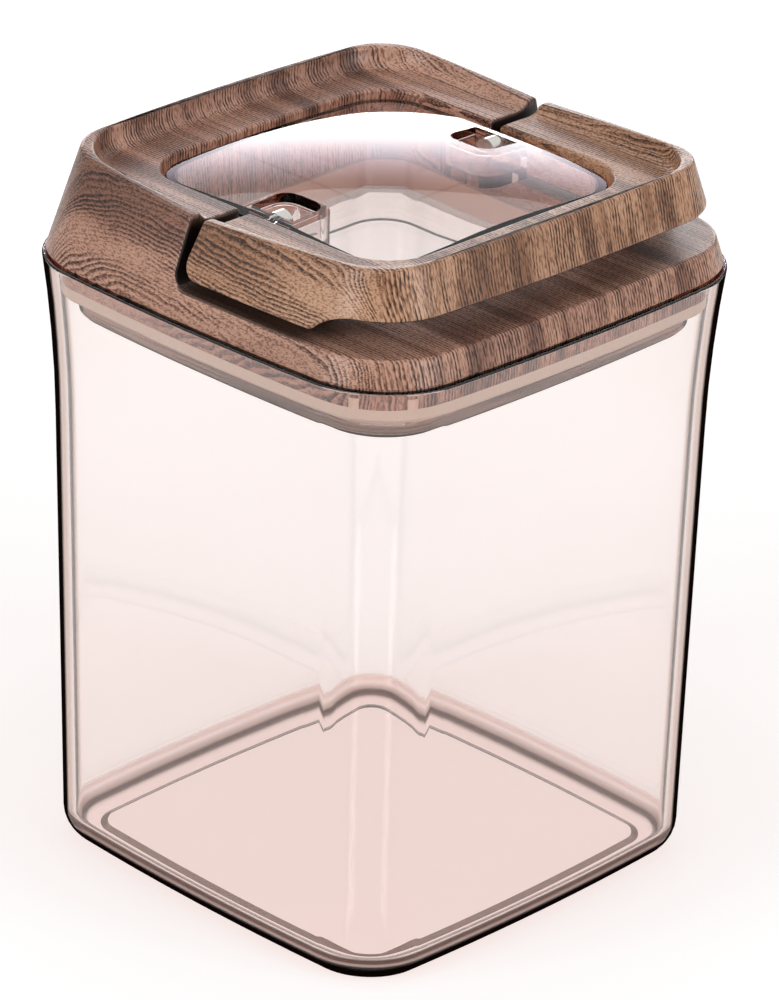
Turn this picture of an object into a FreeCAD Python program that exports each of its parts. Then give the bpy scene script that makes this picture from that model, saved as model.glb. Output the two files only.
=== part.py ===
import FreeCAD, Part
import math
import os

# Food storage container: a clear jar with a wood-look lid that seals when its handle is pressed down.
# All sizes are in millimetres. Z is up, the origin is the middle of the base, the handle opens at -Y.

V = FreeCAD.Vector
os.makedirs("parts", exist_ok=True)

# Every level section is a rounded square with bowed sides. The centre of each side's arc lies this far
# behind the axis, so that sections with the same half width less corner radius are parallel to each other.
bow_centre = 518.0

# Cutters run this far past what they cut, and joined blocks this far into each other.
overrun = 1.0

# Jar
jar_height = 125.2
jar_rim_half = 52.5
jar_rim_corner = 18.5
jar_flare = 2.6
jar_flare_height = 33.2
jar_draft = 1.55
jar_wall = 2.4
jar_floor = 3.2
jar_foot_rounding = 6.0
jar_foot_steps = 2
jar_floor_rounding = 4.5
jar_floor_steps = 1
jar_flare_steps = 2
jar_inside_flare_steps = 1
base_ring_width = 2.35
base_recess_corner = 8.5
base_recess_depth = 1.2

# Lid: outer form that the frame and the handle share
lid_edge_inset = 0.8
lid_foot_gap = 0.7
lid_foot_corner = 18.2
lid_lean = 0.324
saddle_y = 4.4
saddle_rise = 18.7
back_top_slope = 0.0673
front_top_slope = 0.0532
dish_depth = 1.7
dish_foot_radius = 3.0
dish_foot_steps = 3
dish_corner = 13.4
ridge_width = 2.2
strip_width = 10.3
opening_corner = 10.9

# Lid frame
deck_rise = 5.6
rear_face_low_y = 5.6
rear_face_top_y = 4.7
deck_root_radius = 3.0
seat_inset = 0.7
skirt_gap = 1.2
skirt_depth = 4.1
skirt_wall = 2.9
deck_thickness = 2.2
dish_thickness = 2.2
rear_wall = 2.4
rear_side_wall = 3.5
rear_rib = 1.6
rear_rib_spacing = 27.0
opening_wall = 2.2
opening_wall_drop = 4.4

# Lid inner ring
ring_ledge = 0.9
ring_plate = 2.0
ring_fit = 0.05
collar_gap = 0.5
collar_wall = 1.6
collar_top_gap = 0.3

# Window
window_gap = 1.0
window_edge_depth = 0.6
window_crown_rise = 1.3
window_edge_bevel = 1.2
window_wall = 1.8
pocket_length = 8.8
pocket_front = 5.4
pocket_back = 5.6
pocket_below_pivot = 4.0
pocket_radius = 3.0
lug_thickness = 2.6
lug_width = 8.0
lug_below_pivot = 5.2

# Gasket
gasket_height = 2.9
gasket_width = 6.9
gasket_lip_chamfer = 0.9

# Pressure tray
tray_gap = 2.5
tray_corner = 13.0
tray_depth = 4.8
tray_skin = 1.8
tray_rim_width = 4.1
tray_edge_chamfer = 0.8

# Handle
handle_deck_gap = 2.2
handle_front_thickness = 5.1
handle_front_bar = 9.3
handle_step_run = 9.6
handle_end_low_gap = 1.1
handle_end_top_gap = 2.9
handle_end_low_radius = 3.2
handle_end_top_radius = 0.9
handle_wall = 2.4
handle_side_wall = 3.4
handle_roof = 2.6
handle_core_setback = 7.0
handle_rib = 1.4

# Hinge and cam
pivot_y = 0.0
pivot_depth = 3.0
pin_radius = 1.6
pin_running_gap = 0.05
pin_press_depth = 7.5
pin_head_radius = 2.5
pin_head_length = 2.8
pin_head_gap = 0.3
cam_radius = 3.4
cam_forward = 1.2
cam_gap = 0.3
cam_setback = 1.4
cam_width = 6.0


def rounded_square(half, corner, z, bowed=True):
    """Level section with tangent corner arcs and bowed or straight sides."""
    c = half - corner
    tx, ty = half, c
    if bowed:
        bow = bow_centre + half
        gap = bow - corner
        c = (math.sqrt(2.0 * gap * gap - bow_centre * bow_centre) - bow_centre) / 2.0
        angle = math.atan2(c, c + bow_centre)
        tx = bow * math.cos(angle) - bow_centre
        ty = bow * math.sin(angle)
    m = c + corner / math.sqrt(2.0)
    edges = []
    for turn in range(4):
        cos = (1, 0, -1, 0)[turn]
        sin = (0, 1, 0, -1)[turn]
        points = []
        for x, y in ((tx, -ty), (half, 0.0), (tx, ty), (m, m), (ty, tx)):
            points.append(V(x * cos - y * sin, x * sin + y * cos, z))
        side = Part.LineSegment(points[0], points[2])
        if bowed:
            side = Part.Arc(points[0], points[1], points[2])
        edges.append(side.toShape())
        edges.append(Part.Arc(points[2], points[3], points[4]).toShape())
    return Part.Wire(edges)


def diagonal_of(half, corner):
    """Distance from the axis to the middle of a rounded corner."""
    return (half - corner) * math.sqrt(2.0) + corner


def prism(half, corner, low, high, bowed=True):
    """Upright block on a rounded square."""
    return Part.Face(rounded_square(half, corner, low, bowed)).extrude(V(0, 0, high - low))


def stack(half, corner, levels, bowed=True):
    """Block through levels, each a height and how far its section lies inside the given one."""
    sections = [rounded_square(half - inset, corner - inset, z, bowed) for z, inset in levels]
    return Part.makeLoft(sections, True, True)


def round_foot(z, radius, steps):
    """Levels and insets of a rounded lower edge that starts flat at a height."""
    levels = []
    for step in range(steps + 1):
        angle = 0.5 * math.pi * step / steps
        levels.append((z + radius * (1.0 - math.cos(angle)), radius * (1.0 - math.sin(angle))))
    return levels


def cut_square(half, diagonal, low, high):
    """Upright block on a square whose corners are cut off at a distance from the axis."""
    c = diagonal * math.sqrt(2.0) - half
    corners = [(half, -c), (half, c), (c, half), (-c, half), (-half, c), (-half, -c), (-c, -half), (c, -half)]
    points = [V(x, y, low) for x, y in corners + corners[:1]]
    return Part.Face(Part.makePolygon(points)).extrude(V(0, 0, high - low))


def block(x0, x1, y0, y1, z0, z1):
    """Box between two corners."""
    return Part.makeBox(x1 - x0, y1 - y0, z1 - z0, V(x0, y0, z0))


def side_plate(steps, x0, x1):
    """Outline in the YZ plane, extruded along X. A step is a corner, or a point on an arc and its end."""
    corners = [V(x0, step[-2], step[-1]) for step in steps]
    edges = []
    for number, step in enumerate(steps):
        start = corners[number - 1]
        if len(step) == 4:
            edges.append(Part.Arc(start, V(x0, step[0], step[1]), corners[number]).toShape())
        else:
            edges.append(Part.makeLine(start, corners[number]))
    return Part.Face(Part.Wire(edges)).extrude(V(x1 - x0, 0, 0))


def rod(x0, x1, y, z, radius):
    """Round bar along X."""
    return Part.makeCylinder(radius, x1 - x0, V(x0, y, z), V(1, 0, 0))


def mirrored(shape):
    """The same shape on the other side of the YZ plane."""
    return shape.mirror(V(0, 0, 0), V(1, 0, 0))


def edges_where(shape, test):
    """Edges of a shape whose whole length passes a test on x, y and z."""
    found = []
    for edge in shape.Edges:
        if all(test(p.x, p.y, p.z) for p in edge.discretize(9)):
            found.append(edge)
    return found


def level_edges(shape, z):
    """Edges that lie in one level plane."""
    return edges_where(shape, lambda x, y, h: abs(h - z) < 1e-3)


def save(shape, node):
    """Writes one piece."""
    shape.exportStep("parts/" + node + ".step")


# Jar: rounded foot, straight drafted wall, then a flare that opens toward the mouth.
jar_neck_height = jar_height - jar_flare_height
jar_neck_half = jar_rim_half - jar_flare
jar_foot_half = jar_neck_half - jar_draft
wall_slope = jar_draft / jar_neck_height


def jar_inset(z):
    """How far the jar's outer wall lies inside its rim at a height."""
    rise = max(0.0, z - jar_neck_height) / jar_flare_height
    curve = jar_flare - wall_slope * jar_flare_height
    return jar_flare + jar_draft - wall_slope * z - curve * rise * rise


def jar_levels(z, radius, foot_steps, flare_steps, inset):
    """Levels of the jar from a rounded foot to the rim, moved in by an inset."""
    levels = [(h, jar_inset(h) + more + inset) for h, more in round_foot(z, radius, foot_steps)]
    for step in range(flare_steps + 1):
        h = jar_neck_height + jar_flare_height * step / flare_steps
        levels.append((h, jar_inset(h) + inset))
    return levels


outside_levels = jar_levels(0.0, jar_foot_rounding, jar_foot_steps, jar_flare_steps, 0.0)
inside_levels = jar_levels(jar_floor, jar_floor_rounding, jar_floor_steps, jar_inside_flare_steps, jar_wall)
base_recess_half = jar_foot_half - jar_foot_rounding - base_ring_width
jar = stack(jar_rim_half, jar_rim_corner, outside_levels)
jar = jar.cut(stack(jar_rim_half, jar_rim_corner, inside_levels))
jar = jar.cut(prism(base_recess_half, base_recess_corner, 0.0, base_recess_depth, False))

# Lid form: leaning walls, two tilted top planes that meet in a low saddle, and a dish with a rounded foot.
lid_seat = jar_height
lid_foot = lid_seat + lid_foot_gap
lid_foot_half = jar_rim_half - lid_edge_inset
deck_height = lid_seat + deck_rise
saddle_height = lid_seat + saddle_rise
dish_height = saddle_height - dish_depth
wide = jar_rim_half + 10.0 * overrun


def lid_inset(z):
    """How far the lid's outer wall lies inside its foot at a height."""
    return lid_lean * (z - lid_foot)


def top_z(y):
    """Height of the lid's top edge, lowest at the saddle."""
    slope = back_top_slope if y > saddle_y else front_top_slope
    return saddle_height + slope * abs(y - saddle_y)


form_top = max(top_z(wide), top_z(-wide)) + overrun


def lid_form(low, high):
    """Block of the lid's outer form between two heights."""
    return stack(lid_foot_half, lid_foot_corner, [(low, lid_inset(low)), (high, lid_inset(high))])


dish_half = lid_foot_half - lid_inset(saddle_height) - ridge_width
dish_levels = round_foot(dish_height, dish_foot_radius, dish_foot_steps) + [(form_top, 0.0)]
dish = stack(dish_half, dish_corner, dish_levels)
opening_half = dish_half - strip_width
opening = prism(opening_half, opening_corner, 0.0, form_top, False)

# Lid frame: front deck and tall rear half in one moulding with a skirt inside the mouth, cored from below.
root_end_z = deck_height + deck_root_radius
root_share = deck_root_radius / (saddle_height - deck_height)
root_end_y = rear_face_low_y + (rear_face_top_y - rear_face_low_y) * root_share
root_mid = deck_root_radius * math.sqrt(0.5)
root_start_y = root_end_y - deck_root_radius
frame_side = [
    (-wide, lid_foot - overrun),
    (-wide, deck_height),
    (root_start_y, deck_height),
    (root_start_y + root_mid, root_end_z - root_mid, root_end_y, root_end_z),
    (rear_face_top_y, top_z(rear_face_top_y)),
    (wide, top_z(wide)),
    (wide, lid_foot - overrun),
]
frame = lid_form(lid_foot, form_top).common(side_plate(frame_side, -wide, wide))
seat_ring = prism(lid_foot_half - seat_inset, lid_foot_corner - seat_inset, lid_seat, lid_foot + overrun)
skirt_bottom = lid_seat - skirt_depth
skirt_half = jar_rim_half - jar_wall - skirt_gap
skirt_corner = jar_rim_corner - jar_wall - skirt_gap
skirt = prism(skirt_half, skirt_corner, skirt_bottom, lid_foot + 2.0 * overrun)
frame = frame.fuse([seat_ring, skirt]).cut(dish).cut(opening)
core_half = skirt_half - skirt_wall
core_diagonal = diagonal_of(skirt_half, skirt_corner) - skirt_wall
core_top = deck_height - deck_thickness
low_core = cut_square(core_half, core_diagonal, skirt_bottom - overrun, core_top)
rear_core_top = dish_height - dish_thickness
rear_inset = lid_inset(rear_core_top)
rear_core_half = lid_foot_half - rear_inset - rear_side_wall
rear_core_diagonal = diagonal_of(lid_foot_half - rear_inset, lid_foot_corner - rear_inset) - rear_side_wall
rear_core = cut_square(rear_core_half, rear_core_diagonal, core_top - overrun, rear_core_top)
rear_core = rear_core.cut(block(-wide, wide, -wide, rear_face_low_y + rear_wall, 0.0, form_top))
for rib_x in (-0.5 * rear_rib_spacing, 0.5 * rear_rib_spacing):
    rear_core = rear_core.cut(block(rib_x - rear_rib / 2.0, rib_x + rear_rib / 2.0, 0.0, wide, 0.0, form_top))
tube_bottom = deck_height - opening_wall_drop
tube_diagonal = diagonal_of(opening_half, opening_corner) + opening_wall
tube = cut_square(opening_half + opening_wall, tube_diagonal, tube_bottom, form_top)
rebate_half = core_half + ring_ledge
rebate_diagonal = core_diagonal + ring_ledge
ring_top = skirt_bottom + ring_plate
rebate = cut_square(rebate_half, rebate_diagonal, skirt_bottom - overrun, ring_top)
frame = frame.cut(low_core.fuse(rear_core).cut(tube).fuse(rebate))

# Lid inner ring: plate in the rebate of the skirt, with a collar round the window.
window_half = opening_half - window_gap
window_corner = opening_corner - window_gap
bore_half = window_half + collar_gap
bore_diagonal = diagonal_of(window_half, window_corner) + collar_gap
ring = cut_square(rebate_half - ring_fit, rebate_diagonal - ring_fit, skirt_bottom, ring_top)
collar_top = tube_bottom - collar_top_gap
collar = cut_square(bore_half + collar_wall, bore_diagonal + collar_wall, skirt_bottom, collar_top)
ring = ring.fuse(collar).cut(cut_square(bore_half, bore_diagonal, 0.0, form_top))

# Gasket: flat silicone ring with a bevelled outer lip, squeezed between the tray and the skirt.
tray_top = skirt_bottom - gasket_height
gasket = prism(skirt_half, skirt_corner, tray_top, skirt_bottom)
gasket = gasket.makeChamfer(gasket_lip_chamfer, level_edges(gasket, tray_top))
gasket_bore_diagonal = diagonal_of(skirt_half, skirt_corner) - gasket_width
gasket = gasket.cut(cut_square(skirt_half - gasket_width, gasket_bore_diagonal, 0.0, form_top))

# Pressure tray: flat pan with a broad rim that the gasket stands on.
tray_bottom = tray_top - tray_depth
tray_floor = tray_bottom + tray_skin
tray_half = jar_neck_half - jar_wall - tray_gap
tray = prism(tray_half, tray_corner, tray_bottom, tray_top)
tray = tray.makeChamfer(tray_edge_chamfer, level_edges(tray, tray_bottom))
tray_bore_diagonal = diagonal_of(tray_half, tray_corner) - tray_rim_width
tray = tray.cut(cut_square(tray_half - tray_rim_width, tray_bore_diagonal, tray_floor, form_top))

# Window: domed top and straight neck, hollow, with a pocket and a bearing lug for each hinge pin.
pivot_height = dish_height - pivot_depth
window_edge_height = dish_height - window_edge_depth
window_crown_height = window_edge_height + window_crown_rise
dome_half = window_half - window_edge_bevel
dome_radius = (dome_half * dome_half + window_crown_rise * window_crown_rise) / (2.0 * window_crown_rise)
window_levels = [
    (tray_floor, 0.0),
    (window_edge_height - window_edge_bevel, 0.0),
    (window_edge_height, window_edge_bevel),
    (window_crown_height + overrun, window_edge_bevel),
]
window = stack(window_half, window_corner, window_levels, False)
window = window.common(Part.makeSphere(dome_radius, V(0, 0, window_crown_height - dome_radius), V(0, -1, 0)))
ceiling = window_edge_height - window_wall
hollow = prism(window_half - window_wall, window_corner - window_wall, tray_floor, ceiling, False)
lug_inner_x = window_half - lug_thickness
pocket_inner_x = lug_inner_x - pocket_length
pocket_floor = pivot_height - pocket_below_pivot


def pocket_block(grow, floor):
    """Upright pocket with rounded inner corners, grown by a wall thickness."""
    x0 = pocket_inner_x - grow
    y0 = pivot_y - pocket_front - grow
    y1 = pivot_y + pocket_back + grow
    shape = block(x0, lug_inner_x + grow, y0, y1, floor, form_top)
    inner = edges_where(shape, lambda x, y, z: abs(x - x0) < 1e-3)
    upright = [edge for edge in inner if abs(edge.Vertexes[0].Point.z - edge.Vertexes[1].Point.z) > overrun]
    return shape.makeFillet(pocket_radius + grow, upright)


pocket = pocket_block(0.0, pocket_floor)
pocket_wall = pocket_block(window_wall, pocket_floor - window_wall)
lug_outer_x = window_half - lug_thickness / 2.0
lug_front_y = pivot_y - lug_width / 2.0
lug_back_y = pivot_y + lug_width / 2.0
lug_bottom = pivot_height - lug_below_pivot
lug = block(lug_inner_x, lug_outer_x, lug_front_y, lug_back_y, lug_bottom, window_edge_height)
pin_hole = rod(pocket_inner_x, wide, pivot_y, pivot_height, pin_radius + pin_running_gap)
window = window.cut(hollow.cut([pocket_wall, mirrored(pocket_wall)]))
window = window.cut([pocket, mirrored(pocket)])
window = window.fuse([lug, mirrored(lug)])
window = window.cut([pin_hole, mirrored(pin_hole)])

# Handle: the front part of the lid form, stepped up over the finger gap and cored from below.
handle_bottom = deck_height + handle_deck_gap
handle_front = dish_height - handle_front_thickness
handle_end_low_y = rear_face_low_y - handle_end_low_gap
handle_end_top_y = rear_face_top_y - handle_end_top_gap
step_end_y = handle_front_bar - lid_foot_half + lid_inset(handle_front)
step_y = step_end_y + handle_step_run
step_rise = handle_front - handle_bottom
step_radius = (handle_step_run * handle_step_run + step_rise * step_rise) / (2.0 * step_rise)
step_turn = math.atan2(handle_step_run, step_radius - step_rise) / 2.0
step_mid_y = step_end_y + step_radius * math.sin(step_turn)
step_mid_z = handle_front - step_radius * (1.0 - math.cos(step_turn))
handle_outline = [
    (handle_end_top_y, top_z(handle_end_top_y)),
    (-wide, top_z(-wide)),
    (-wide, handle_front),
    (step_end_y, handle_front),
    (step_mid_y, step_mid_z, step_y, handle_bottom),
    (handle_end_low_y, handle_bottom),
]
handle_side = side_plate(handle_outline, -wide, wide)
low_corner = edges_where(
    handle_side, lambda x, y, z: abs(y - handle_end_low_y) < 1e-3 and abs(z - handle_bottom) < 1e-3
)
handle_side = handle_side.makeFillet(handle_end_low_radius, low_corner)
top_corner = edges_where(handle_side, lambda x, y, z: abs(y - handle_end_top_y) < 1e-3 and z > saddle_height)
handle_side = handle_side.makeFillet(handle_end_top_radius, top_corner)
handle = lid_form(deck_height, form_top).common(handle_side).cut(dish).cut(opening)
core_inner_x = opening_half + handle_wall
core_high = dish_height - handle_roof
core_outer_x = lid_foot_half - lid_inset(core_high) - handle_side_wall
core_front_y = step_y + handle_wall
core_back_y = pivot_y - handle_core_setback
core = block(core_inner_x, core_outer_x, core_front_y, core_back_y, handle_bottom - overrun, core_high)
rib_y = (core_front_y + core_back_y) / 2.0
core = core.cut(block(0.0, wide, rib_y - handle_rib / 2.0, rib_y + handle_rib / 2.0, 0.0, form_top))
cam_inner_x = opening_half + cam_setback
cam_z = deck_height + cam_gap + cam_radius
lobe = rod(cam_inner_x, cam_inner_x + cam_width, pivot_y - cam_forward, cam_z, cam_radius)
pin_end_x = opening_half + pin_press_depth
pin_socket = rod(opening_half - overrun, pin_end_x, pivot_y, pivot_height, pin_radius)
handle = handle.cut([core, mirrored(core)])
handle = handle.fuse([lobe, mirrored(lobe)])
handle = handle.cut([pin_socket, mirrored(pin_socket)]).removeSplitter()

# Hinge pins: pressed into the arms, turning in the window's lugs, heads in the pockets.
head_end_x = lug_inner_x - pin_head_gap
pin = rod(head_end_x - overrun, pin_end_x, pivot_y, pivot_height, pin_radius)
pin = pin.fuse(rod(head_end_x - pin_head_length, head_end_x, pivot_y, pivot_height, pin_head_radius))

save(jar, "jar")
save(frame, "lid_frame")
save(ring, "lid_inner_ring")
save(gasket, "gasket")
save(tray, "plunger_plate")
save(window, "plunger_window")
save(handle, "flip_handle")
save(mirrored(pin), "pivot_pin_left")
save(pin, "pivot_pin_right")
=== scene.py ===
import math

import bmesh
import bpy
from mathutils import Matrix, Vector


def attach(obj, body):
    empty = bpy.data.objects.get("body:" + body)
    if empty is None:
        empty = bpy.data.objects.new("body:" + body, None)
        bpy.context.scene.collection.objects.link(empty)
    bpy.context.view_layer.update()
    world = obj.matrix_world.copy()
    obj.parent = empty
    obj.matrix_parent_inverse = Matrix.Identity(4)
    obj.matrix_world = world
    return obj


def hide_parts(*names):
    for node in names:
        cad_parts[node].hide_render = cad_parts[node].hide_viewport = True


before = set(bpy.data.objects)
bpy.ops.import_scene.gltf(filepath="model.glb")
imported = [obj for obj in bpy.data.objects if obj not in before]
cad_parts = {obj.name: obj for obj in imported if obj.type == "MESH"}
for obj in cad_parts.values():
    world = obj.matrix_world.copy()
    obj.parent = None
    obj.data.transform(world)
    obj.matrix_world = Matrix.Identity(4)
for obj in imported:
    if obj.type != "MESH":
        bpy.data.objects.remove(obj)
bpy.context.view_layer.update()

# The jar is one injection moulding of clear copolyester with a faint rose tint. Its section is a rounded
# square with bowed sides; the wall is thin, flares at the mouth, and stands on a ring round a shallow recess.
# Each level of the wall, in mm from the floor, has its inset in mm from the rim.
MM = 0.001
rim_half = 52.5 * MM
rim_corner = 16.0 * MM
jar_height = 125.2 * MM
jar_wall = 2.4 * MM
floor_lift = 0.8 * MM
side_bow = 3.158 * MM
bow_reach = 60.0 * MM
foot_rounding = 6.0 * MM
foot_ring = 2.35 * MM
recess_depth = 1.2 * MM
recess_slope = 1.4 * MM
levels_and_insets = (
    (0.0, 4.15), (30.0, 3.65), (62.0, 3.1), (92.0, 2.6),
    (100.3, 2.33), (108.6, 1.79), (116.9, 1.02), (125.2, 0.0),
)


def start_piece(name):
    """Names the primitive that was just added and opens it in edit mode with nothing selected."""
    piece = bpy.context.object
    piece.name = name
    piece.data.name = name
    bpy.ops.object.transform_apply(location=True, rotation=True, scale=True)
    bpy.ops.object.mode_set(mode="EDIT")
    bpy.ops.mesh.select_all(action="DESELECT")
    return piece


def pick(piece, kind, test):
    """Selects the vertices, edges or faces of the open piece whose middle passes a test."""
    bpy.ops.mesh.select_mode(type={"verts": "VERT", "edges": "EDGE", "faces": "FACE"}[kind])
    bpy.ops.mesh.select_all(action="DESELECT")
    shape = bmesh.from_edit_mesh(piece.data)
    shape.normal_update()
    for part in getattr(shape, kind):
        points = [part.co] if kind == "verts" else [v.co for v in part.verts]
        if test(part, sum(points, Vector()) / len(points)):
            part.select_set(True)
    shape.select_flush_mode()
    bmesh.update_edit_mesh(piece.data)


def close_piece(piece, angle):
    """Leaves edit mode with merged points, shaded smooth below an angle."""
    bpy.ops.mesh.select_mode(type="VERT")
    bpy.ops.mesh.select_all(action="SELECT")
    bpy.ops.mesh.remove_doubles(threshold=0.002 * MM)
    bpy.ops.object.mode_set(mode="OBJECT")
    bpy.ops.object.shade_smooth_by_angle(angle=math.radians(angle))


def finish_with(piece, kind, **settings):
    """Adds one modifier with its settings and applies it."""
    modifier = piece.modifiers.new(kind.lower(), kind)
    for name, value in settings.items():
        setattr(modifier, name, value)
    bpy.context.view_layer.objects.active = piece
    bpy.ops.object.modifier_apply(modifier=modifier.name)


bpy.ops.object.select_all(action="DESELECT")
bpy.ops.mesh.primitive_plane_add(size=2.0 * (rim_half - side_bow), location=(0.0, 0.0, 0.0))
jar = start_piece("jar_clear")
pick(jar, "verts", lambda v, m: True)
bpy.ops.mesh.bevel(offset=rim_corner, segments=14, profile=0.5, affect="VERTICES", clamp_overlap=False)
pick(jar, "edges", lambda e, m: e.calc_length() > 30.0 * MM)
bpy.ops.mesh.subdivide(number_cuts=15)
for outward in (Vector((1, 0, 0)), Vector((0, 1, 0)), Vector((-1, 0, 0)), Vector((0, -1, 0))):
    middle_of_side = outward * (rim_half - side_bow)
    pick(jar, "verts", lambda v, m: (m - middle_of_side).length < 0.5 * MM)
    bpy.ops.transform.translate(
        value=outward * side_bow,
        use_proportional_edit=True,
        proportional_edit_falloff="INVERSE_SQUARE",
        proportional_size=bow_reach,
    )
pick(jar, "faces", lambda f, m: True)
bpy.ops.mesh.extrude_region_move(TRANSFORM_OT_translate={"value": (0.0, 0.0, jar_height)})
pick(jar, "faces", lambda f, m: abs(f.normal.z) > 0.9)
bpy.ops.mesh.delete(type="ONLY_FACE")
for level, inset in levels_and_insets[1:-1]:
    pick(jar, "faces", lambda f, m: True)
    bpy.ops.mesh.bisect(plane_co=(0.0, 0.0, level * MM), plane_no=(0.0, 0.0, 1.0))
pick(jar, "faces", lambda f, m: True)
bpy.ops.mesh.normals_make_consistent(inside=False)
for level, inset in levels_and_insets[::-1]:
    pick(jar, "verts", lambda v, m: abs(m.z - level * MM) < 0.01 * MM)
    bpy.ops.transform.shrink_fatten(value=-inset * MM)
    shape = bmesh.from_edit_mesh(jar.data)
    for v in shape.verts:
        if v.select:
            v.co.z = level * MM
    bmesh.update_edit_mesh(jar.data)
pick(jar, "edges", lambda e, m: m.z < 0.01 * MM)
bpy.ops.mesh.edge_face_add()
pick(jar, "edges", lambda e, m: m.z < 0.01 * MM)
bpy.ops.mesh.bevel(offset=foot_rounding, segments=8, profile=0.5, affect="EDGES", clamp_overlap=False)
pick(jar, "faces", lambda f, m: True)
bpy.ops.mesh.normals_make_consistent(inside=False)
close_piece(jar, 40.0)
finish_with(jar, "SOLIDIFY", thickness=jar_wall, offset=-1.0, use_even_offset=True, use_quality_normals=True)
bpy.ops.object.mode_set(mode="EDIT")
pick(jar, "verts", lambda v, m: m.z > jar_height - 0.5 * MM)
bpy.ops.transform.resize(value=(1.0, 1.0, 0.0), center_override=(0.0, 0.0, jar_height))
pick(jar, "verts", lambda v, m: jar_wall - 0.2 * MM < m.z < foot_rounding + 0.2 * MM and v.normal.z > 0.02)
bpy.ops.transform.translate(value=(0.0, 0.0, floor_lift))
pick(jar, "faces", lambda f, m: len(f.verts) > 8 and f.normal.z < 0.0)
bpy.ops.mesh.inset(thickness=foot_ring, depth=0.0)
bpy.ops.mesh.inset(thickness=recess_slope, depth=0.0)
bpy.ops.transform.translate(value=(0.0, 0.0, recess_depth))
pick(jar, "edges", lambda e, m: m.z > jar_height - 0.01 * MM)
bpy.ops.mesh.bevel(offset=0.6 * MM, segments=3, profile=0.5, affect="EDGES", clamp_overlap=True)
close_piece(jar, 40.0)
finish_with(jar, "WEIGHTED_NORMAL", mode="FACE_AREA", weight=50, keep_sharp=True)


def linear(colour):
    """sRGB hex value as the linear colour that a shader takes."""
    channels = [int(colour[i:i + 2], 16) / 255.0 for i in (1, 3, 5)]
    return [c / 12.92 if c <= 0.04045 else ((c + 0.055) / 1.055) ** 2.4 for c in channels] + [1.0]


def start_material(name):
    """New material with an empty node tree."""
    material = bpy.data.materials.new(name)
    material.use_nodes = True
    material.node_tree.nodes.clear()
    return material


def add_node(material, kind, settings=None, links=None, stops=()):
    """Adds one node with its settings, links (a node stands for its first output) and colour stops."""
    tree = material.node_tree
    node = tree.nodes.new(kind)
    for name, value in (settings or {}).items():
        if isinstance(name, int) or name in node.inputs:
            node.inputs[name].default_value = value
        else:
            setattr(node, name, value)
    for name, source in (links or {}).items():
        tree.links.new(source if hasattr(source, "is_linked") else source.outputs[0], node.inputs[name])
    for number, (position, colour) in enumerate(stops):
        stop = node.color_ramp.elements[number] if number < 2 else node.color_ramp.elements.new(position)
        stop.position = position
        stop.color = linear(colour)
    return node


# Clear copolyester: smooth moulded gloss with a rose body. Painted shade: upright walls are painted taupe,
# then black, where the eye meets them at a low angle. The rounded foot and the floor's steps get painted
# shade, its fillet painted light.
rose_plastic = start_material("rose_clear_copolyester")
# How low the eye meets an upright wall, with the height that it looks from taken out.
eye = add_node(rose_plastic, "ShaderNodeLayerWeight", {"Blend": 0.5}).outputs["Facing"]
plumb = add_node(rose_plastic, "ShaderNodeCombineXYZ", {"Z": 1.0})
lift = add_node(rose_plastic, "ShaderNodeLayerWeight", {"Blend": 0.5}, {"Normal": plumb}).outputs["Facing"]
lift = add_node(rose_plastic, "ShaderNodeMath", {"operation": "SUBTRACT", 0: 1.0}, {1: lift})
lift = add_node(rose_plastic, "ShaderNodeMath", {"operation": "MULTIPLY"}, {0: lift, 1: lift})
level = add_node(rose_plastic, "ShaderNodeMath", {"operation": "SUBTRACT", 0: 1.0}, {1: lift})
level = add_node(rose_plastic, "ShaderNodeMath", {"operation": "SQRT"}, {0: level})
round_eye = add_node(rose_plastic, "ShaderNodeMath", {"operation": "SUBTRACT", 0: 1.0}, {1: eye})
round_eye = add_node(rose_plastic, "ShaderNodeMath", {"operation": "DIVIDE"}, {0: round_eye, 1: level})
round_eye = add_node(rose_plastic, "ShaderNodeMath", {"operation": "SUBTRACT", 0: 1.0}, {1: round_eye})
side = add_node(rose_plastic, "ShaderNodeNewGeometry")
tilt = add_node(rose_plastic, "ShaderNodeSeparateXYZ", {}, {"Vector": side.outputs["Normal"]}).outputs["Z"]
where = add_node(rose_plastic, "ShaderNodeTexCoord").outputs["Object"]
height = add_node(rose_plastic, "ShaderNodeSeparateXYZ", {}, {"Vector": where}).outputs["Z"]
flow_size = {"Scale": 1.0 / (18.0 * MM), "Detail": 1.0}
flow = add_node(rose_plastic, "ShaderNodeTexNoise", flow_size, {"Vector": where})
ripple = add_node(rose_plastic, "ShaderNodeBump", {"Strength": 0.06, "Distance": 0.4 * MM}, {"Height": flow})
steep = add_node(rose_plastic, "ShaderNodeMath", {"operation": "ABSOLUTE"}, {0: tilt})
upright = add_node(rose_plastic, "ShaderNodeMapRange", {"From Min": 0.9, "From Max": 0.6}, {"Value": steep})
flat = {"From Min": 0.98, "From Max": 0.92}
not_flat = add_node(rose_plastic, "ShaderNodeMapRange", flat, {"Value": steep})
# Painted shade: the slope round the base recess is painted dark brown, seen through the floor as a brown
# line.
step_height = {"From Min": 3.0 * MM, "From Max": 1.6 * MM}
painted_step_shade = add_node(rose_plastic, "ShaderNodeMapRange", step_height, {"Value": height})
slope_stops = ((0.3, "#000000"), (0.995, "#000000"), (0.6, "#FFFFFF"), (0.95, "#FFFFFF"))
slope = add_node(rose_plastic, "ShaderNodeValToRGB", {}, {"Fac": steep}, slope_stops)
painted_step_shade = add_node(rose_plastic, "ShaderNodeMath", {"operation": "MULTIPLY"}, {0: painted_step_shade, 1: slope})
step_colours = {"data_type": "RGBA", "A": linear("#FFFFFF"), "B": linear("#5A3B2C")}
body = add_node(rose_plastic, "ShaderNodeMix", step_colours, {0: painted_step_shade})
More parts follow.
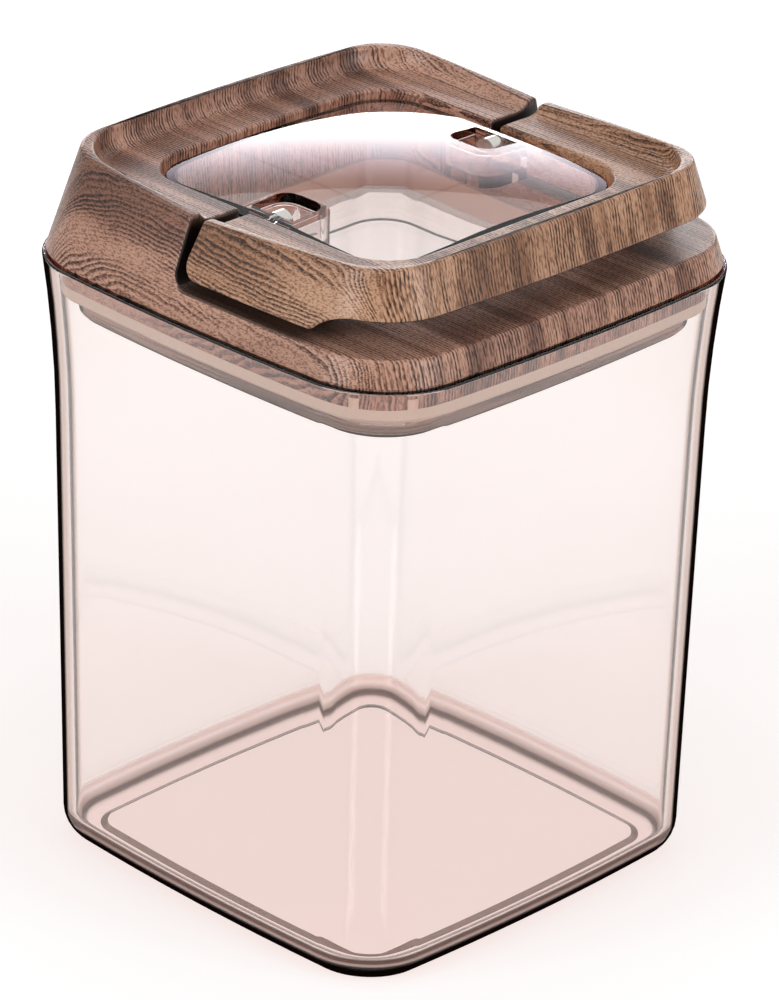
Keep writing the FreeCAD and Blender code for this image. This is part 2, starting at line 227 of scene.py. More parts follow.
# Painted shade: taupe is painted into the body where a wall turns away from the eye, then the clear plastic
# itself.
turn_range = {"interpolation_type": "SMOOTHSTEP", "From Min": 0.36, "From Max": 0.58}
turned = add_node(rose_plastic, "ShaderNodeMapRange", turn_range, {"Value": round_eye})
turned = add_node(rose_plastic, "ShaderNodeMath", {"operation": "MULTIPLY"}, {0: turned, 1: upright})
painted_taupe = {"data_type": "RGBA", "B": linear("#B39B8D")}
body = add_node(rose_plastic, "ShaderNodeMix", painted_taupe, {0: turned, "A": body.outputs[2]})
gloss = {"Roughness": 0.0, "IOR": 1.52, "Transmission Weight": 1.0}
links = {"Base Color": body.outputs[2], "Normal": ripple}
clear = add_node(rose_plastic, "ShaderNodeBsdfPrincipled", gloss, links)
# Inside, a pale band of painted light runs round the floor's fillet, with a line of painted shade at its
# foot.
bands = {}
fillet_slopes = ((tilt, 0.1, 0.35), (tilt, 0.97, 0.9))
fillet_heights = ((height, 3.2 * MM, 3.8 * MM), (height, 10.0 * MM, 6.5 * MM))
seam_slopes = ((tilt, 0.998, 0.985), (tilt, 0.86, 0.93))
seam_heights = ((height, 3.0 * MM, 3.1 * MM), (height, 6.0 * MM, 4.5 * MM))
for name, limits in (("fillet", fillet_slopes + fillet_heights), ("painted_seam_shade", seam_slopes + seam_heights)):
    for value, none, full in limits:
        ramp = {"From Min": none, "From Max": full}
        share = add_node(rose_plastic, "ShaderNodeMapRange", ramp, {"Value": value})
        if name in bands:
            both = {0: bands[name], 1: share}
            share = add_node(rose_plastic, "ShaderNodeMath", {"operation": "MULTIPLY"}, both)
        bands[name] = share
painted_fillet_light = add_node(rose_plastic, "ShaderNodeMath", {"operation": "MULTIPLY", 1: 0.5}, {0: bands["fillet"]})
painted_fillet_white = add_node(rose_plastic, "ShaderNodeBsdfDiffuse", {"Color": linear("#FFF8F5")})
clear = add_node(rose_plastic, "ShaderNodeMixShader", {}, {"Fac": painted_fillet_light, 1: clear, 2: painted_fillet_white})
# Painted shade: dark edges are painted on walls at a low angle, the underside of the foot's rounding, the
# recess and the seam.
edge_range = {"interpolation_type": "SMOOTHSTEP", "From Min": 0.6, "From Max": 0.7}
painted_dark_edge = add_node(rose_plastic, "ShaderNodeMapRange", edge_range, {"Value": round_eye})
painted_dark_edge = add_node(rose_plastic, "ShaderNodeMath", {"operation": "MULTIPLY"}, {0: painted_dark_edge, 1: not_flat})
low_eye = {"interpolation_type": "SMOOTHSTEP", "From Min": 0.2, "From Max": 0.45}
painted_foot_shade = add_node(rose_plastic, "ShaderNodeMapRange", low_eye, {"Value": eye})
under_range = {"interpolation_type": "SMOOTHSTEP", "From Min": -0.22, "From Max": -0.38}
painted_under_shade = add_node(rose_plastic, "ShaderNodeMapRange", under_range, {"Value": tilt})
painted_under_shade = add_node(rose_plastic, "ShaderNodeMath", {"operation": "MULTIPLY"}, {0: painted_under_shade, 1: not_flat})
painted_foot_shade = add_node(rose_plastic, "ShaderNodeMath", {"operation": "MULTIPLY"}, {0: painted_foot_shade, 1: painted_under_shade})
painted_dark_edge = add_node(rose_plastic, "ShaderNodeMath", {"operation": "MAXIMUM"}, {0: painted_dark_edge, 1: painted_foot_shade})
inner_share = {"To Min": 1.0, "To Max": 0.6}
front = add_node(rose_plastic, "ShaderNodeMapRange", inner_share, {"Value": side.outputs["Backfacing"]})
painted_dark_edge = add_node(rose_plastic, "ShaderNodeMath", {"operation": "MULTIPLY"}, {0: painted_dark_edge, 1: front})
step_edge = add_node(rose_plastic, "ShaderNodeMath", {"operation": "MULTIPLY", 1: 0.65}, {0: painted_step_shade})
painted_dark_edge = add_node(rose_plastic, "ShaderNodeMath", {"operation": "MAXIMUM"}, {0: painted_dark_edge, 1: step_edge})
painted_seam_shade = add_node(rose_plastic, "ShaderNodeMath", {"operation": "MULTIPLY", 1: 0.5}, {0: bands["painted_seam_shade"]})
painted_dark_edge = add_node(rose_plastic, "ShaderNodeMath", {"operation": "MAXIMUM"}, {0: painted_dark_edge, 1: painted_seam_shade})
# Painted shade colours: near black seen from outside, dark brown seen from inside the plastic.
dark = {"data_type": "RGBA", "A": linear("#0E0705"), "B": linear("#6A4636")}
dark = add_node(rose_plastic, "ShaderNodeMix", dark, {0: side.outputs["Backfacing"]})
dark = add_node(rose_plastic, "ShaderNodeBsdfDiffuse", {}, {"Color": dark.outputs[2]})
clear = add_node(rose_plastic, "ShaderNodeMixShader", {}, {"Fac": painted_dark_edge, 1: clear, 2: dark})
# Shadows and bounced light pass straight through, so that the floor under the jar isn't lit twice.
ray = add_node(rose_plastic, "ShaderNodeLightPath")
let_through = add_node(rose_plastic, "ShaderNodeBsdfTransparent", {"Color": linear("#FBF3F0")})
for kind in ("Is Shadow Ray", "Is Diffuse Ray"):
    links = {"Fac": ray.outputs[kind], 1: clear, 2: let_through}
    clear = add_node(rose_plastic, "ShaderNodeMixShader", {}, links)
rose = add_node(rose_plastic, "ShaderNodeVolumeAbsorption", {"Color": linear("#EAA98E"), "Density": 40.0})
add_node(rose_plastic, "ShaderNodeOutputMaterial", {}, {"Surface": clear, "Volume": rose})
jar.data.materials.clear()
jar.data.materials.append(rose_plastic)
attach(jar, "jar_body")
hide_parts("jar")

# The lid frame and the flip handle are ABS mouldings with one walnut film over the outside: fine lines that
# run front to back as in a solid block, dark pores in rows, under a satin lacquer. All edges are softened.
ring_pitch = 0.72 * MM
slow_bend = 4.6 * MM
quick_bend = 0.55 * MM
side_ring_pitch = 0.34 * MM
edge_rounding = 0.7 * MM
slit_reach = 10.0 * MM
slit_black = 141.0 * MM
slit_brown = 145.0 * MM
arm_inner = 36.0 * MM
arm_inner_fade = 3.0 * MM
arm_front = -24.0 * MM
arm_front_fade = 10.0 * MM
deck_top = 131.5 * MM


def walnut_film(name, light, middle, brown, dark):
    """Printed walnut: growth lines at x levels, bent by slow noise and broken into rows of short pores."""
    film = start_material(name)
    where = add_node(film, "ShaderNodeTexCoord")
    place = add_node(film, "ShaderNodeSeparateXYZ", {}, {"Vector": where.outputs["Object"]})
    faces = add_node(film, "ShaderNodeSeparateXYZ", {}, {"Vector": where.outputs["Normal"]})
    smooth = {"interpolation_type": "SMOOTHSTEP"}
    noises = {}
    for part, size, detail in (
        ("slow bend", (60.0, 46.0, 15.0), 0.0),
        ("quick bend", (9.0, 7.0, 4.0), 1.0),
        ("strength", (1.3, 40.0, 26.0), 1.0),
        ("end pores", (0.3, 1.5, 1.35), 1.0),
        ("side pores", (0.3, 0.7, 0.26), 1.0),
        ("stripe", (6.5, 120.0, 60.0), 1.0),
        ("cloud", (14.0, 30.0, 14.0), 2.0),
    ):
        stretch = {"Scale": [1.0 / (side * MM) for side in size]}
        space = add_node(film, "ShaderNodeMapping", stretch, {"Vector": where.outputs["Object"]})
        fine = {"Scale": 1.0, "Detail": detail}
        noises[part] = add_node(film, "ShaderNodeTexNoise", fine, {"Vector": space})
    slow = {"operation": "MULTIPLY_ADD", 1: slow_bend}
    bent = add_node(film, "ShaderNodeMath", slow, {0: noises["slow bend"], 2: place.outputs["X"]})
    quick = {"operation": "MULTIPLY_ADD", 1: quick_bend}
    bent = add_node(film, "ShaderNodeMath", quick, {0: noises["quick bend"], 2: bent})
    lines = []
    for pitch in (ring_pitch, side_ring_pitch):
        ring = add_node(film, "ShaderNodeMath", {"operation": "DIVIDE", 1: pitch}, {0: bent})
        phase = add_node(film, "ShaderNodeMath", {"operation": "FRACT"}, {0: ring})
        rise = smooth | {"From Min": 0.15, "From Max": 0.8}
        rise = add_node(film, "ShaderNodeMapRange", rise, {"Value": phase})
        drop = smooth | {"From Min": 0.99, "From Max": 0.84}
        drop = add_node(film, "ShaderNodeMapRange", drop, {"Value": phase})
        lines.append(add_node(film, "ShaderNodeMath", {"operation": "MULTIPLY"}, {0: rise, 1: drop}))
    side_on = add_node(film, "ShaderNodeMath", {"operation": "ABSOLUTE"}, {0: faces.outputs["X"]})
    sides = smooth | {"From Min": 0.6, "From Max": 0.85}
    sides = add_node(film, "ShaderNodeMapRange", sides, {"Value": side_on})
    late = {0: sides, 2: lines[0], 3: lines[1]}
    late = add_node(film, "ShaderNodeMix", {"data_type": "FLOAT"}, late)
    bold = smooth | {"From Min": 0.36, "From Max": 0.62, "To Min": 0.12}
    bold = add_node(film, "ShaderNodeMapRange", bold, {"Value": noises["strength"]})
    late = add_node(film, "ShaderNodeMath", {"operation": "MULTIPLY"}, {0: late, 1: bold})
    end_on = add_node(film, "ShaderNodeMath", {"operation": "ABSOLUTE"}, {0: faces.outputs["Y"]})
    turned_on = smooth | {"From Min": 0.45, "From Max": 0.75}
    ends = add_node(film, "ShaderNodeMapRange", turned_on, {"Value": end_on})
    pores = {0: ends, 2: noises["side pores"], 3: noises["end pores"]}
    pores = add_node(film, "ShaderNodeMix", {"data_type": "FLOAT"}, pores)
    deep = smooth | {"From Min": 0.47, "From Max": 0.66}
    deep = add_node(film, "ShaderNodeMapRange", deep, {"Value": pores})
    deep = add_node(film, "ShaderNodeMath", {"operation": "MULTIPLY", 1: 0.26}, {0: deep})
    dashes = smooth | {"From Min": 0.3, "From Max": 0.62, "To Min": 0.4}
    dashes = add_node(film, "ShaderNodeMapRange", dashes, {"Value": pores})
    rows = add_node(film, "ShaderNodeMath", {"operation": "MULTIPLY"}, {0: late, 1: dashes})
    depth = add_node(film, "ShaderNodeMath", {"operation": "MULTIPLY_ADD", 1: 0.72}, {0: rows, 2: deep})
    stripe = smooth | {"From Min": 0.5, "From Max": 0.7, "To Max": 0.25}
    stripe = add_node(film, "ShaderNodeMapRange", stripe, {"Value": noises["stripe"]})
    depth = add_node(film, "ShaderNodeMath", {"operation": "ADD"}, {0: depth, 1: stripe})
    cloud = smooth | {"From Min": 0.35, "From Max": 0.7, "To Max": 0.16}
    cloud = add_node(film, "ShaderNodeMapRange", cloud, {"Value": noises["cloud"]})
    depth = add_node(film, "ShaderNodeMath", {"operation": "ADD"}, {0: depth, 1: cloud})
    stops = ((0.02, light), (0.95, dark), (0.3, middle), (0.6, brown))
    colours = add_node(film, "ShaderNodeValToRGB", {}, {"Fac": depth}, stops)
    # Painted shade: near-black brown is painted into the slit, less towards its top, on the undersides and on
    # the deck under the arms.
    middle_y = add_node(film, "ShaderNodeMath", {"operation": "ABSOLUTE"}, {0: place.outputs["Y"]})
    middle_y = add_node(film, "ShaderNodeMath", {"operation": "LESS_THAN", 1: slit_reach}, {0: middle_y})
    end_on = add_node(film, "ShaderNodeMath", {"operation": "GREATER_THAN", 1: 0.6}, {0: end_on})
    painted_shade_mask = add_node(film, "ShaderNodeMath", {"operation": "MULTIPLY"}, {0: middle_y, 1: end_on})
    upper = smooth | {"From Min": slit_black, "From Max": slit_brown, "To Min": 1.0, "To Max": 0.45}
    upper = add_node(film, "ShaderNodeMapRange", upper, {"Value": place.outputs["Z"]})
    painted_shade_mask = add_node(film, "ShaderNodeMath", {"operation": "MULTIPLY"}, {0: painted_shade_mask, 1: upper})
    painted_under_shade = {0: faces.outputs["Z"]}
    painted_under_shade = add_node(film, "ShaderNodeMath", {"operation": "LESS_THAN", 1: -0.5}, painted_under_shade)
    painted_shade_mask = add_node(film, "ShaderNodeMath", {"operation": "MAXIMUM"}, {0: painted_shade_mask, 1: painted_under_shade})
    beside = add_node(film, "ShaderNodeMath", {"operation": "ABSOLUTE"}, {0: place.outputs["X"]})
    arm = smooth | {"From Min": arm_inner - arm_inner_fade, "From Max": arm_inner}
    beside = add_node(film, "ShaderNodeMapRange", arm, {"Value": beside})
    rear = smooth | {"From Min": arm_front - arm_front_fade, "From Max": arm_front, "To Max": 0.8}
    rear = add_node(film, "ShaderNodeMapRange", rear, {"Value": place.outputs["Y"]})
    low = add_node(film, "ShaderNodeMath", {"operation": "LESS_THAN", 1: deck_top}, {0: place.outputs["Z"]})
    level = add_node(film, "ShaderNodeMath", {"operation": "GREATER_THAN", 1: 0.7}, {0: faces.outputs["Z"]})
    painted_seat_shade = add_node(film, "ShaderNodeMath", {"operation": "MULTIPLY"}, {0: beside, 1: rear})
    painted_seat_shade = add_node(film, "ShaderNodeMath", {"operation": "MULTIPLY"}, {0: painted_seat_shade, 1: low})
    painted_seat_shade = add_node(film, "ShaderNodeMath", {"operation": "MULTIPLY"}, {0: painted_seat_shade, 1: level})
    painted_shade_mask = add_node(film, "ShaderNodeMath", {"operation": "MAXIMUM"}, {0: painted_shade_mask, 1: painted_seat_shade})
    painted_shade_brown = ((0.3, "#150C09"), (0.7, "#281A15"))
    painted_shade_brown = add_node(film, "ShaderNodeValToRGB", {}, {"Fac": noises["cloud"]}, painted_shade_brown)
    painted_shade_mix = {0: painted_shade_mask, "A": colours, "B": painted_shade_brown}
    colours = add_node(film, "ShaderNodeMix", {"data_type": "RGBA"}, painted_shade_mix).outputs[2]
    satin = add_node(film, "ShaderNodeMapRange", {"To Min": 0.36, "To Max": 0.52}, {"Value": depth})
    relief = {"Strength": 0.3, "Distance": 0.05 * MM, "invert": True}
    relief = add_node(film, "ShaderNodeBump", relief, {"Height": depth})
    lacquer = {"IOR": 1.5, "Specular IOR Level": 0.35, "Coat Weight": 0.12, "Coat Roughness": 0.3}
    links = {"Base Color": colours, "Roughness": satin, "Normal": relief}
    wood = add_node(film, "ShaderNodeBsdfPrincipled", lacquer, links)
    add_node(film, "ShaderNodeOutputMaterial", {}, {"Surface": wood})
    return film


def softened_copy(node, name, edge_test):
    """Copy of a solid with merged points, joined flat facets, and its outer edges rounded."""
    piece = bpy.data.objects.new(name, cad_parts[node].data.copy())
    piece.data.name = name
    bpy.context.scene.collection.objects.link(piece)
    bpy.ops.object.select_all(action="DESELECT")
    piece.select_set(True)
    bpy.context.view_layer.objects.active = piece
    bpy.ops.mesh.customdata_custom_splitnormals_clear()
    bpy.ops.object.mode_set(mode="EDIT")
    bpy.ops.mesh.select_all(action="SELECT")
    bpy.ops.mesh.remove_doubles(threshold=0.004 * MM)
    bpy.ops.mesh.dissolve_limited(angle_limit=math.radians(0.4))
    pick(piece, "edges", lambda e, m: e.is_manifold and e.calc_face_angle() > 0.6 and edge_test(m / MM))
    bpy.ops.mesh.bevel(offset=edge_rounding, segments=3, profile=0.5, affect="EDGES", clamp_overlap=False)
    close_piece(piece, 40.0)
    finish_with(piece, "WEIGHTED_NORMAL", mode="FACE_AREA", weight=50, keep_sharp=True)
    return piece


def frame_edge(m):
    """Outer edges of the frame, not those of the hollows under it, told by the edge's middle in mm."""
    hollow_front = 7.4
    hollow_top = 140.4
    hollow_half = 46.0
    deck_edge = 130.4
    hollow = m.y > hollow_front and m.z < hollow_top and max(abs(m.x), abs(m.y)) < hollow_half
    return m.z > deck_edge and not hollow


def handle_edge(m):
    """Outer edges of the handle, not those of its hollows, sockets and cam lobes, told as above."""
    hollow_inner, hollow_outer = 35.0, 46.6
    hollow_front, hollow_rear = -28.0, -5.0
    hollow_top = 141.0
    socket_reach, socket_half, socket_top = 4.0, 42.0, 141.9
    lobe_top = 132.5
    beside = hollow_inner < abs(m.x) < hollow_outer
    hollow = beside and hollow_front < m.y < hollow_rear and m.z < hollow_top
    hinge = abs(m.y) < socket_reach and m.z < socket_top and abs(m.x) < socket_half
    return m.z > lobe_top and not hollow and not hinge


pinkish = walnut_film("walnut_film_pinkish", "#C39883", "#8E6553", "#54362B", "#1E100F")
lid_piece = softened_copy("lid_frame", "lid_frame_walnut", frame_edge)
lid_piece.data.materials.clear()
lid_piece.data.materials.append(pinkish)
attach(lid_piece, "lid")
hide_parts("lid_frame")
tan = walnut_film("walnut_film_tan", "#C79D80", "#93694E", "#5A3825", "#1E100C")
handle_piece = softened_copy("flip_handle", "flip_handle_walnut", handle_edge)
handle_piece.data.materials.clear()
handle_piece.data.materials.append(tan)
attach(handle_piece, "handle")
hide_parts("flip_handle")

# Gasket: a soft pale beige silicone ring, squeezed out between the skirt and the tray. Its moulded skin is
# matt, with a very fine grain that is drawn coarser than it is, so that it shows.
silicone = start_material("beige_silicone")
where = add_node(silicone, "ShaderNodeTexCoord").outputs["Object"]
skin = add_node(silicone, "ShaderNodeTexNoise", {"Scale": 1.0 / (0.6 * MM), "Detail": 2.0}, {"Vector": where})
shade = add_node(silicone, "ShaderNodeValToRGB", {}, {"Fac": skin}, ((0.0, "#CDBFB2"), (1.0, "#DED2C6")))
grain = add_node(silicone, "ShaderNodeBump", {"Strength": 0.15, "Distance": 0.03 * MM}, {"Height": skin})
dull = add_node(silicone, "ShaderNodeMapRange", {"To Min": 0.5, "To Max": 0.66}, {"Value": skin})
soft = {"IOR": 1.41, "Subsurface Weight": 0.1, "Subsurface Scale": 1.0 * MM}
links = {"Base Color": shade, "Roughness": dull, "Normal": grain}
rubber = add_node(silicone, "ShaderNodeBsdfPrincipled", soft, links)
add_node(silicone, "ShaderNodeOutputMaterial", {}, {"Surface": rubber})
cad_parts["gasket"].data.materials.clear()
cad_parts["gasket"].data.materials.append(silicone)

# Inner ring: plain beige ABS that closes the hollow lid from below, pressed into the skirt. It has the dull,
# lightly sparked skin of a hidden moulding, drawn a little coarser than it is, so that it shows.
abs_plastic = start_material("beige_abs")
where = add_node(abs_plastic, "ShaderNodeTexCoord").outputs["Object"]
spark_size = {"Scale": 1.0 / (0.25 * MM), "Detail": 2.0}
spark = add_node(abs_plastic, "ShaderNodeTexNoise", spark_size, {"Vector": where})
shade = add_node(abs_plastic, "ShaderNodeValToRGB", {}, {"Fac": spark}, ((0.0, "#D6BFAF"), (1.0, "#E4D0C2")))
grain = add_node(abs_plastic, "ShaderNodeBump", {"Strength": 0.2, "Distance": 0.02 * MM}, {"Height": spark})
dull = add_node(abs_plastic, "ShaderNodeMapRange", {"To Min": 0.4, "To Max": 0.55}, {"Value": spark})
links = {"Base Color": shade, "Roughness": dull, "Normal": grain}
moulded = add_node(abs_plastic, "ShaderNodeBsdfPrincipled", {"IOR": 1.53}, links)
add_node(abs_plastic, "ShaderNodeOutputMaterial", {}, {"Surface": moulded})
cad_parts["lid_inner_ring"].data.materials.clear()
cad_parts["lid_inner_ring"].data.materials.append(abs_plastic)

# Window: the upper half of the plunger, of the jar's clear plastic. It is a domed shell, and its underside
# bends light as the inside of the dome does, so that the jar is seen through it without a shift.
dome_radius = 394.0 * MM
shell_underside = 139.8 * MM
window_plastic = rose_plastic.copy()
window_plastic.name = "clear_window_copolyester"
side = add_node(window_plastic, "ShaderNodeNewGeometry")
where = add_node(window_plastic, "ShaderNodeTexCoord").outputs["Object"]
height = add_node(window_plastic, "ShaderNodeSeparateXYZ", {}, {"Vector": where}).outputs["Z"]
below = {"operation": "COMPARE", 1: shell_underside, 2: 0.1 * MM}
below = add_node(window_plastic, "ShaderNodeMath", below, {0: height})
bend = -1.0 / dome_radius
bowl = {"operation": "MULTIPLY_ADD", 1: (bend, bend, 0.0), 2: (0.0, 0.0, -1.0)}
bowl = add_node(window_plastic, "ShaderNodeVectorMath", bowl, {0: where})
turned = {"To Min": 1.0, "To Max": -1.0}
turned = add_node(window_plastic, "ShaderNodeMapRange", turned, {"Value": side.outputs["Backfacing"]})
bowl = add_node(window_plastic, "ShaderNodeVectorMath", {"operation": "SCALE"}, {0: bowl, "Scale": turned})
bowl = add_node(window_plastic, "ShaderNodeVectorMath", {"operation": "NORMALIZE"}, {0: bowl})
bowl = {0: below, "A": side.outputs["Normal"], "B": bowl}
bowl = add_node(window_plastic, "ShaderNodeMix", {"data_type": "VECTOR"}, bowl).outputs[1]
clear = window_plastic.node_tree.nodes["Principled BSDF"]
window_plastic.node_tree.links.new(bowl, clear.inputs["Normal"])
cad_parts["plunger_window"].data.materials.clear()
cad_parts["plunger_window"].data.materials.append(window_plastic)

# Pressure tray: the lower half of the plunger, welded to the window's skirt through the lid. It is of the
# same plastic, and its upright rim faces get painted brown streaks for the light that runs along inside it.
tray_plastic = rose_plastic.copy()
tray_plastic.name = "clear_tray_copolyester"
side = add_node(tray_plastic, "ShaderNodeNewGeometry").outputs["Normal"]
tilt = add_node(tray_plastic, "ShaderNodeSeparateXYZ", {}, {"Vector": side}).outputs["Z"]
tilt = add_node(tray_plastic, "ShaderNodeMath", {"operation": "ABSOLUTE"}, {0: tilt})
painted_rim_glow = {"From Min": 0.7, "From Max": 0.3, "To Max": 0.5}
painted_rim_glow = add_node(tray_plastic, "ShaderNodeMapRange", painted_rim_glow, {"Value": tilt})
where = add_node(tray_plastic, "ShaderNodeTexCoord").outputs["Object"]
streaks = {"Scale": (1.0 / (40.0 * MM), 1.0 / (40.0 * MM), 1.0 / (0.7 * MM))}
streaks = add_node(tray_plastic, "ShaderNodeMapping", streaks, {"Vector": where})
streaks = add_node(tray_plastic, "ShaderNodeTexNoise", {"Scale": 1.0, "Detail": 1.0}, {"Vector": streaks})
brown = ((0.35, "#6E5044"), (0.65, "#C9A896"))
brown = add_node(tray_plastic, "ShaderNodeValToRGB", {}, {"Fac": streaks}, brown)
brown = add_node(tray_plastic, "ShaderNodeBsdfDiffuse", {}, {"Color": brown})
clear = {"Fac": painted_rim_glow, 1: tray_plastic.node_tree.nodes["Principled BSDF"], 2: brown}
clear = add_node(tray_plastic, "ShaderNodeMixShader", {}, clear).outputs[0]
tray_plastic.node_tree.links.new(clear, tray_plastic.node_tree.nodes["Mix Shader"].inputs[1])
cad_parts["plunger_plate"].data.materials.clear()
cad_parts["plunger_plate"].data.materials.append(tray_plastic)

# Hinge pins: turned stainless steel, pressed into the handle's arms, with polished heads in the window's
# pockets. Fine rings from the lathe run round them.
steel = start_material("turned_stainless_steel")
where = add_node(steel, "ShaderNodeTexCoord").outputs["Object"]
ring_size = {"Scale": (1.0 / (0.12 * MM), 1.0 / (3.0 * MM), 1.0 / (3.0 * MM))}
rings = add_node(steel, "ShaderNodeMapping", ring_size, {"Vector": where})
lathe = add_node(steel, "ShaderNodeTexNoise", {"Scale": 1.0, "Detail": 2.0}, {"Vector": rings})
shade = add_node(steel, "ShaderNodeValToRGB", {}, {"Fac": lathe}, ((0.0, "#B9B6B2"), (1.0, "#D8D5D0")))
dull = add_node(steel, "ShaderNodeMapRange", {"To Min": 0.14, "To Max": 0.3}, {"Value": lathe})
grain = add_node(steel, "ShaderNodeBump", {"Strength": 0.1, "Distance": 0.01 * MM}, {"Height": lathe})
links = {"Base Color": shade, "Roughness": dull, "Normal": grain}
metal = add_node(steel, "ShaderNodeBsdfPrincipled", {"Metallic": 1.0}, links)
add_node(steel, "ShaderNodeOutputMaterial", {}, {"Surface": metal})
for node in ("pivot_pin_left", "pivot_pin_right"):
    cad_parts[node].data.materials.clear()
    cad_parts[node].data.materials.append(steel)

# Studio floor: plain white paper. What the lamps leave of its white is filled in for the eye, for gloss and
# for what is seen through the clear plastic, more so far from the jar, so that the floor keeps the shadow.
bpy.ops.object.select_all(action="DESELECT")
bpy.ops.mesh.primitive_plane_add(size=6.0, location=(0.0, 0.0, 0.0))
floor = bpy.context.object
floor.name = "studio_floor"
paper = start_material("white_studio_paper")
ray = add_node(paper, "ShaderNodeLightPath")
seen = {0: ray.outputs["Is Camera Ray"], 1: ray.outputs["Is Transmission Ray"]}
seen = add_node(paper, "ShaderNodeMath", {"operation": "MAXIMUM"}, seen)
seen = add_node(paper, "ShaderNodeMath", {"operation": "MAXIMUM"}, {0: seen, 1: ray.outputs["Is Glossy Ray"]})
first = {0: ray.outputs["Diffuse Depth"]}
first = add_node(paper, "ShaderNodeMath", {"operation": "LESS_THAN", 1: 0.5}, first)
seen = add_node(paper, "ShaderNodeMath", {"operation": "MULTIPLY"}, {0: seen, 1: first})
where = add_node(paper, "ShaderNodeTexCoord").outputs["Object"]
far = add_node(paper, "ShaderNodeVectorMath", {"operation": "LENGTH"}, {0: where}).outputs["Value"]
fill = {"From Min": 0.08, "From Max": 0.6, "To Min": 0.44, "To Max": 0.8}
fill = add_node(paper, "ShaderNodeMapRange", fill, {"Value": far})
fill = add_node(paper, "ShaderNodeMath", {"operation": "MULTIPLY"}, {0: fill, 1: seen})
glow = add_node(paper, "ShaderNodeEmission", {"Color": linear("#FFFFFF")}, {"Strength": fill})
matt = add_node(paper, "ShaderNodeBsdfDiffuse", {"Color": linear("#E7E7E7")})
both = add_node(paper, "ShaderNodeAddShader", {}, {0: matt, 1: glow})
add_node(paper, "ShaderNodeOutputMaterial", {}, {"Surface": both})
floor.data.materials.append(paper)

# Studio room: white to the eye. Gloss and clear plastic meet walls that are dark at the foot and pale above,
# and matt surfaces get a weak even light from it.
world = bpy.data.worlds.new("studio_room")
bpy.context.scene.world = world
world.use_nodes = True
world.node_tree.nodes.clear()
ray = add_node(world, "ShaderNodeLightPath")
aim = add_node(world, "ShaderNodeTexCoord").outputs["Generated"]
height = add_node(world, "ShaderNodeSeparateXYZ", {}, {"Vector": aim}).outputs["Z"]
walls = {"From Min": 0.02, "From Max": 0.6, "To Min": 0.03, "To Max": 1.1}
walls = add_node(world, "ShaderNodeMapRange", walls, {"Value": height})
through = {0: ray.outputs["Is Glossy Ray"], 1: ray.outputs["Is Transmission Ray"]}
through = add_node(world, "ShaderNodeMath", {"operation": "MAXIMUM"}, through)
first = {0: ray.outputs["Diffuse Depth"]}
first = add_node(world, "ShaderNodeMath", {"operation": "LESS_THAN", 1: 0.5}, first)
through = add_node(world, "ShaderNodeMath", {"operation": "MULTIPLY"}, {0: through, 1: first})
level = add_node(world, "ShaderNodeMix", {"data_type": "FLOAT", 2: 0.2}, {0: through, 3: walls})
eye = {0: ray.outputs["Is Camera Ray"], 2: level}
level = add_node(world, "ShaderNodeMix", {"data_type": "FLOAT", 3: 1.0}, eye)
room = add_node(world, "ShaderNodeBackground", {"Color": linear("#FFFFFF")}, {"Strength": level})
add_node(world, "ShaderNodeOutputWorld", {}, {"Surface": room})


# Lamps: soft boxes at the left, at the right and above, at places and sizes in metres. They are weak enough
# for pale surfaces to keep their colour.
def soft_box(name, place, aim, width, depth, power):
    """Area lamp that looks at a point."""
    lamp = bpy.data.lights.new(name, "AREA")
    lamp.shape = "RECTANGLE"
    lamp.size = width
    lamp.size_y = depth
    lamp.energy = power
    holder = bpy.data.objects.new(name, lamp)
    bpy.context.scene.collection.objects.link(holder)
    holder.location = place
    holder.rotation_euler = (Vector(aim) - Vector(place)).to_track_quat("-Z", "Y").to_euler()
    return holder


soft_box("left_soft_box", (-1.0, 0.15, 0.5), (0.0, 0.0, 0.12), 0.6, 0.6, 6.0)
soft_box("right_soft_box", (0.15, -1.0, 0.5), (0.0, 0.0, 0.12), 0.6, 0.6, 6.0)
soft_box("top_soft_box", (0.0, 0.0, 1.2), (0.0, 0.0, 0.1), 0.8, 0.8, 2.4)

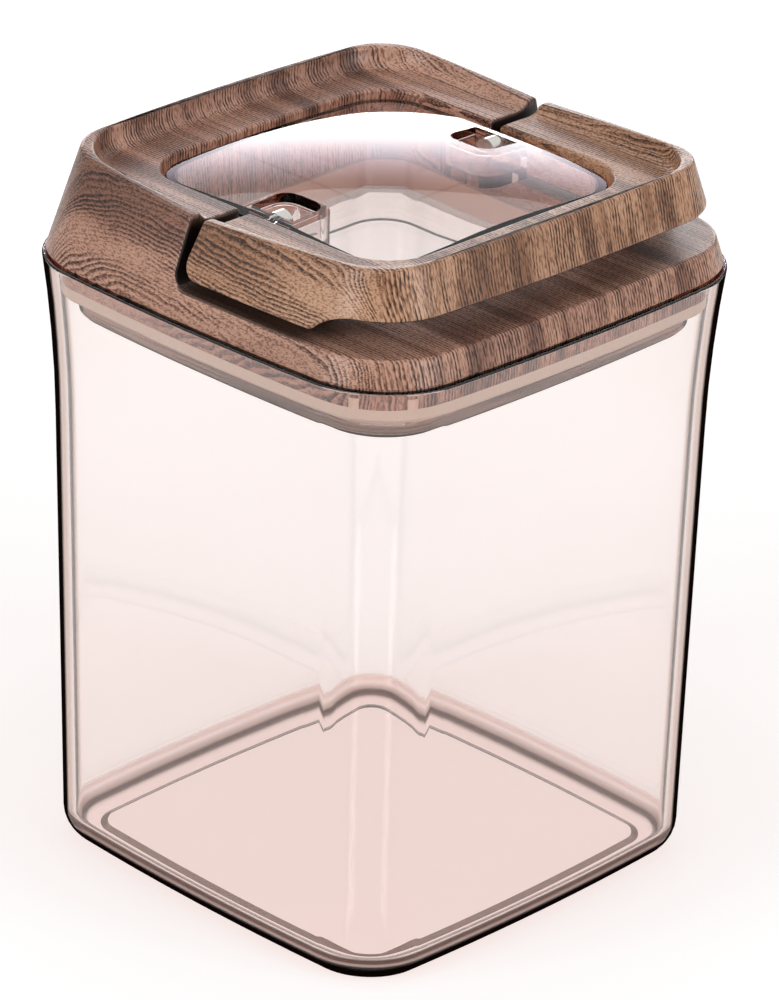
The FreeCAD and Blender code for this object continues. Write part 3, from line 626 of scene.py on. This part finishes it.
# Card behind the jar: white below and fading through lilac to nothing at its upper edge. It is seen in gloss
# only and lights nothing, and it makes the soft white half of the window.
card_place = Vector((0.72, 0.72, 0.38))
facing = (Vector((0.0, 0.0, 0.14)) - card_place).to_track_quat("Z", "Y").to_euler()
bpy.ops.mesh.primitive_plane_add(size=1.0, location=card_place, rotation=facing)
card = bpy.context.object
card.name = "back_card"
card.scale = (1.1, 0.46, 1.0)
white_card = start_material("white_card")
where = add_node(white_card, "ShaderNodeTexCoord").outputs["Object"]
height = add_node(white_card, "ShaderNodeSeparateXYZ", {}, {"Vector": where}).outputs["Y"]
fade = {"interpolation_type": "SMOOTHSTEP", "From Min": 0.5, "From Max": 0.05, "To Max": 6.0}
fade = add_node(white_card, "ShaderNodeMapRange", fade, {"Value": height})
tint = add_node(white_card, "ShaderNodeValToRGB", {}, {"Fac": height}, ((0.05, "#FFFFFF"), (0.3, "#E8DCEA")))
shine = add_node(white_card, "ShaderNodeEmission", {}, {"Color": tint, "Strength": fade})
add_node(white_card, "ShaderNodeOutputMaterial", {}, {"Surface": shine})
card.data.materials.append(white_card)
card.visible_camera = False
card.visible_diffuse = False
card.visible_transmission = False
card.visible_shadow = False

# Camera: a long lens that looks down at the front left corner, as in the photograph, for an image 779 wide
# and 1000 high. Its place and turn were fitted to the corners of rim, base and lid.
camera_data = bpy.data.cameras.new("photo_camera")
camera = bpy.data.objects.new("photo_camera", camera_data)
bpy.context.scene.collection.objects.link(camera)
camera_data.sensor_fit = "AUTO"
camera_data.sensor_width = 36.0
camera_data.lens = 194.38
camera_data.clip_start = 0.01
right = Vector((0.70829137, -0.70547947, 0.02494094))
up = Vector((0.28695324, 0.32001772, 0.90291001))
back = Vector((-0.64496602, -0.63236649, 0.42910541))
camera_place = Vector((-0.672959, -0.662865, 0.522391))
turn = Matrix((right, up, back)).transposed().to_4x4()
camera.matrix_world = Matrix.Translation(camera_place) @ turn
bpy.context.scene.camera = camera
bpy.context.scene.view_settings.view_transform = "Standard"
